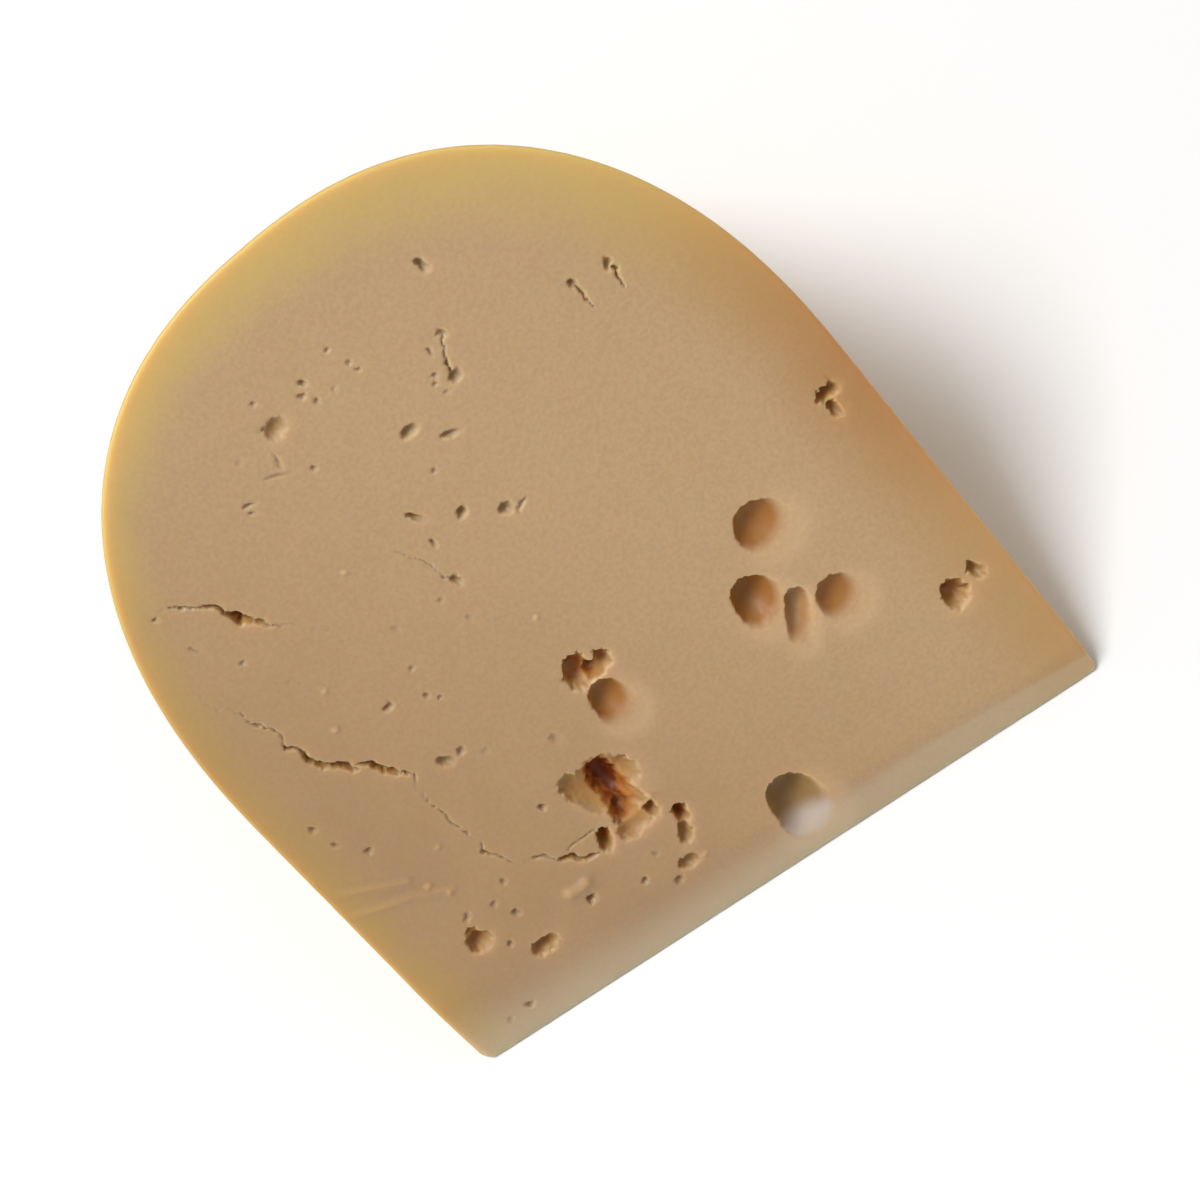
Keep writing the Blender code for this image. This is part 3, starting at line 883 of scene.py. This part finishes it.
def paste_material():
    nodes = Nodes("cheese_paste")
    place = nodes.add("TexCoord").outputs["Object"]
    parts = nodes.add("SeparateXYZ", {"Vector": place}).outputs
    rim = nodes.attribute("rim_distance")
    tip = nodes.attribute("tip_distance")
    eye, tear, pit, glow = (nodes.attribute(mark + "_mark") for mark in MARKS)
    blotches = nodes.noise(place, 70.0, 3.0)
    grain = nodes.noise(place, 1600.0, 2.0)
    # Painted light: the paste is painted paler towards +X and up, standing in for the light that falls more strongly
    # there.
    slope = nodes.math("ADD", parts["X"], parts["Z"])
    shade = nodes.mix(nodes.spread(slope, -0.02, 0.07), colour(181, 147, 109), colour(201, 170, 131))
    shade = nodes.mix(nodes.spread(blotches, 0.35, 0.65, 0.0, 0.2), shade, colour(200, 166, 124))
    shade = nodes.mix(nodes.spread(grain, 0.3, 0.7, 0.0, 0.25), shade, colour(170, 136, 96))
    # The band inside the rind is partly the drier paste's own yellower colour and partly painted light: a paler
    # painted yellow glow at the top, where light comes through the rind, and painted shade and orange reflection that
    # make it darker and wider towards +X.
    edge = nodes.math("ADD", rim, nodes.spread(blotches, 0.3, 0.7, -1.5, 1.5, "LINEAR"))
    east_shade_and_reflection = nodes.mix(nodes.spread(parts["Z"], 0.02, 0.042), colour(190, 152, 98), colour(182, 134, 76))
    side = nodes.mix(nodes.spread(parts["X"], -0.04, 0.045), colour(190, 158, 93), east_shade_and_reflection)
    dry_band_and_painted_light = nodes.mix(nodes.spread(parts["Z"], 0.045, 0.08), side, colour(214, 186, 111))
    width = nodes.spread(parts["X"], -0.03, 0.04, 9.0, 16.0)
    shade = nodes.mix(nodes.spread(nodes.math("DIVIDE", edge, width), 0.0, 1.0, 0.85, 0.0), shade, dry_band_and_painted_light)
    # Painted shade in the pits: the deeper they are, the darker olive-brown.
    shade = nodes.mix(nodes.spread(pit, 0.05, 0.9, 0.0, 0.6), shade, colour(160, 126, 66))
    # Painted shade in the eyes, following their depth and lighter on their soft sides: browner away from the tip,
    # greyer near it.
    eye_painted_shade = nodes.mix(nodes.spread(tip, 12.0, 22.0), colour(156, 122, 74), colour(166, 109, 42))
    shade = nodes.mix(nodes.spread(eye, 0.0, 1.0, 0.0, 0.95), shade, eye_painted_shade)
    # A painted glow just outside each hole's soft side.
    shade = nodes.mix(nodes.math("MULTIPLY", glow, 0.45), shade, colour(228, 198, 156))
    # A painted pale glow in the eyes near the thin tip, where light shows through.
    pale = nodes.math("MULTIPLY", nodes.spread(tip, 5.5, 9.0, 1.0, 0.0), nodes.spread(eye, 0.0, 0.5, 0.0, 0.85))
    shade = nodes.mix(pale, shade, colour(200, 186, 180))
    # Painted shade in the torn holes and cracks: darker and redder the deeper they are, in uneven patches.
    tear = nodes.math("MULTIPLY", tear, nodes.spread(nodes.noise(place, 700.0), 0.3, 0.7, 0.7, 1.3))
    shade = nodes.mix(nodes.spread(tear, 0.1, 0.9, 0.0, 0.85), shade, colour(178, 134, 74))
    shade = nodes.mix(nodes.spread(tear, 0.9, 2.8, 0.0, 0.9), shade, colour(180, 106, 40))
    shade = nodes.mix(nodes.spread(tear, 2.4, 3.9, 0.0, 0.9), shade, colour(126, 48, 14))
    # Painted light: the steeper cut at the tip and the face just above it are painted whitish, standing in for light
    # shining through the thin tip and off the floor. The band is narrower towards +X.
    reach = nodes.spread(parts["X"], -0.05, 0.05, 14.0, 4.4, "LINEAR")
    from_tip = nodes.math("DIVIDE", tip, reach)
    right = nodes.spread(parts["X"], -0.02, 0.035)
    start = nodes.math("MULTIPLY", right, 0.8)
    share = nodes.spread(right, 0.0, 1.0, 0.6, 0.34, "LINEAR")
    tip_facet_glow = nodes.spread(from_tip, start, 1.0, share, 0.0)
    shade = nodes.mix(tip_facet_glow, shade, colour(208, 192, 162))
    nodes.put(nodes.shader.inputs["Base Color"], shade)
    nodes.put(nodes.shader.inputs["Roughness"], nodes.spread(grain, 0.3, 0.7, 0.42, 0.56, "LINEAR"))
    normal = nodes.bump(nodes.noise(place, 320.0, 3.0), 0.2, 0.0003)
    normal = nodes.bump(nodes.noise(place, 1500.0, 3.0), 0.2, 0.0001, normal)
    nodes.put(nodes.shader.inputs["Normal"], normal)
    nodes.shader.inputs["Subsurface Weight"].default_value = 1.0
    nodes.shader.inputs["Subsurface Radius"].default_value = (1.0, 0.5, 0.2)
    nodes.shader.inputs["Subsurface Scale"].default_value = 0.004
    nodes.shader.inputs["IOR"].default_value = 1.42
    return nodes.material


def cloth_imprint(nodes):
    """The height of the mark that the cheese cloth's slanting threads left."""
    along = nodes.attribute("cloth_along")
    around = nodes.attribute("cloth_around")
    threads = []
    for direction in ("ADD", "SUBTRACT"):
        turn = nodes.math("MULTIPLY", nodes.math(direction, along, around), 2.0 * math.pi / CLOTH_PITCH)
        threads.append(nodes.math("SINE", turn))
    return nodes.math("MAXIMUM", *threads)


def rind_material():
    nodes = Nodes("cheese_rind")
    place = nodes.add("TexCoord").outputs["Object"]
    rim = nodes.attribute("rim_distance")
    cloth = cloth_imprint(nodes)
    mottle = nodes.noise(place, 60.0, 4.0)
    shade = nodes.mix(nodes.spread(mottle, 0.35, 0.7), colour(246, 187, 36), colour(240, 173, 30))
    shade = nodes.mix(nodes.spread(cloth, -0.4, 1.0, 0.25, 0.0), shade, colour(206, 126, 20))
    chips = nodes.noise(place, 420.0, 1.0)
    shade = nodes.mix(nodes.spread(chips, 0.79, 0.82, 0.0, 0.6), shade, colour(240, 222, 170))
    shade = nodes.mix(nodes.spread(rim, 0.0, 9.0, 0.6, 0.0), shade, colour(224, 174, 78))
    shade = nodes.mix(nodes.spread(rim, 0.4, 1.8, 0.9, 0.0), shade, colour(204, 168, 96))
    nodes.put(nodes.shader.inputs["Base Color"], shade)
    normal = nodes.bump(cloth, 0.35, 0.0001)
    normal = nodes.bump(mottle, 0.3, 0.0008, normal)
    nodes.put(nodes.shader.inputs["Normal"], normal)
    nodes.shader.inputs["Roughness"].default_value = 0.42
    nodes.shader.inputs["Subsurface Weight"].default_value = 0.4
    nodes.shader.inputs["Subsurface Radius"].default_value = (1.0, 0.5, 0.15)
    nodes.shader.inputs["Subsurface Scale"].default_value = 0.0015
    return nodes.material


def floor_material():
    nodes = Nodes("pale_floor")
    nodes.shader.inputs["Base Color"].default_value = colour(236, 236, 236)
    nodes.shader.inputs["Roughness"].default_value = 0.7
    return nodes.material


# Pieces

def add_wedge():
    skin = Skin()
    places = (skin.vertices + (0.0, AXIS_Y, 0.0)) * MM
    mesh = bpy.data.meshes.new("cheese")
    faces = np.concatenate((skin.cut_faces, skin.rind_faces))
    mesh.from_pydata(places.tolist(), [], faces.tolist())
    looks = [0] * len(skin.cut_faces) + [1] * len(skin.rind_faces)
    mesh.polygons.foreach_set("material_index", looks)
    for name, values in (
        ("rim_distance", skin.rim_distance),
        ("tip_distance", skin.tip_distance),
        *((mark + "_mark", skin.marks[:, index]) for index, mark in enumerate(MARKS)),
        ("cloth_along", skin.cloth[:, 0]),
        ("cloth_around", skin.cloth[:, 1]),
    ):
        made = mesh.attributes.new(name, "FLOAT", "POINT")
        made.data.foreach_set("value", values.astype(np.float32))
    bm = bmesh.new()
    bm.from_mesh(mesh)
    bmesh.ops.recalc_face_normals(bm, faces=bm.faces)
    open_edges = [edge for edge in bm.edges if not edge.is_manifold]
    print("wedge:", len(bm.verts), "vertices", len(bm.faces), "faces", len(open_edges), "open edges")
    bm.to_mesh(mesh)
    bm.free()
    mesh.shade_smooth()
    mesh.materials.append(paste_material())
    mesh.materials.append(rind_material())
    wedge = bpy.data.objects.new("cheese", mesh)
    bpy.context.scene.collection.objects.link(wedge)
    return wedge


def add_floor():
    size = 3.0
    mesh = bpy.data.meshes.new("floor")
    corners = [(-size, -size, 0), (size, -size, 0), (size, size, 0), (-size, size, 0)]
    mesh.from_pydata(corners, [], [(0, 1, 2, 3)])
    mesh.materials.append(floor_material())
    floor = bpy.data.objects.new("floor", mesh)
    bpy.context.scene.collection.objects.link(floor)
    return floor


def add_area_light(name, place, aim, size, power, tint):
    data = bpy.data.lights.new(name, "AREA")
    data.shape = "SQUARE"
    data.size = size
    data.energy = power
    data.color = tint
    light = bpy.data.objects.new(name, data)
    light.location = place
    light.rotation_euler = (Vector(aim) - Vector(place)).to_track_quat("-Z", "Y").to_euler()
    bpy.context.scene.collection.objects.link(light)


def add_lights():
    world = bpy.data.worlds.new("studio")
    world.use_nodes = True
    background = world.node_tree.nodes["Background"]
    background.inputs["Color"].default_value = (1.0, 1.0, 1.0, 1.0)
    background.inputs["Strength"].default_value = 0.46
    bpy.context.scene.world = world
    add_area_light("key", (-0.75, 0.45, 2.0), (0.0, 0.0, 0.03), 0.9, 41.0, (1.0, 1.0, 1.0))


def add_camera():
    data = bpy.data.cameras.new("camera")
    data.lens = CAMERA_LENS
    data.clip_start = 0.01
    camera = bpy.data.objects.new("camera", data)
    place, aim = Vector(CAMERA_PLACE) * MM, Vector(CAMERA_AIM) * MM
    camera.location = place
    camera.rotation_mode = "QUATERNION"
    roll = Quaternion((0.0, 0.0, 1.0), CAMERA_ROLL)
    camera.rotation_quaternion = (aim - place).to_track_quat("-Z", "Y") @ roll
    bpy.context.scene.collection.objects.link(camera)
    bpy.context.scene.camera = camera


add_camera()
add_lights()
floor = add_floor()
wedge = add_wedge()
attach(wedge, "root")
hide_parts(NODE)
bpy.context.scene.view_settings.view_transform = "Standard"
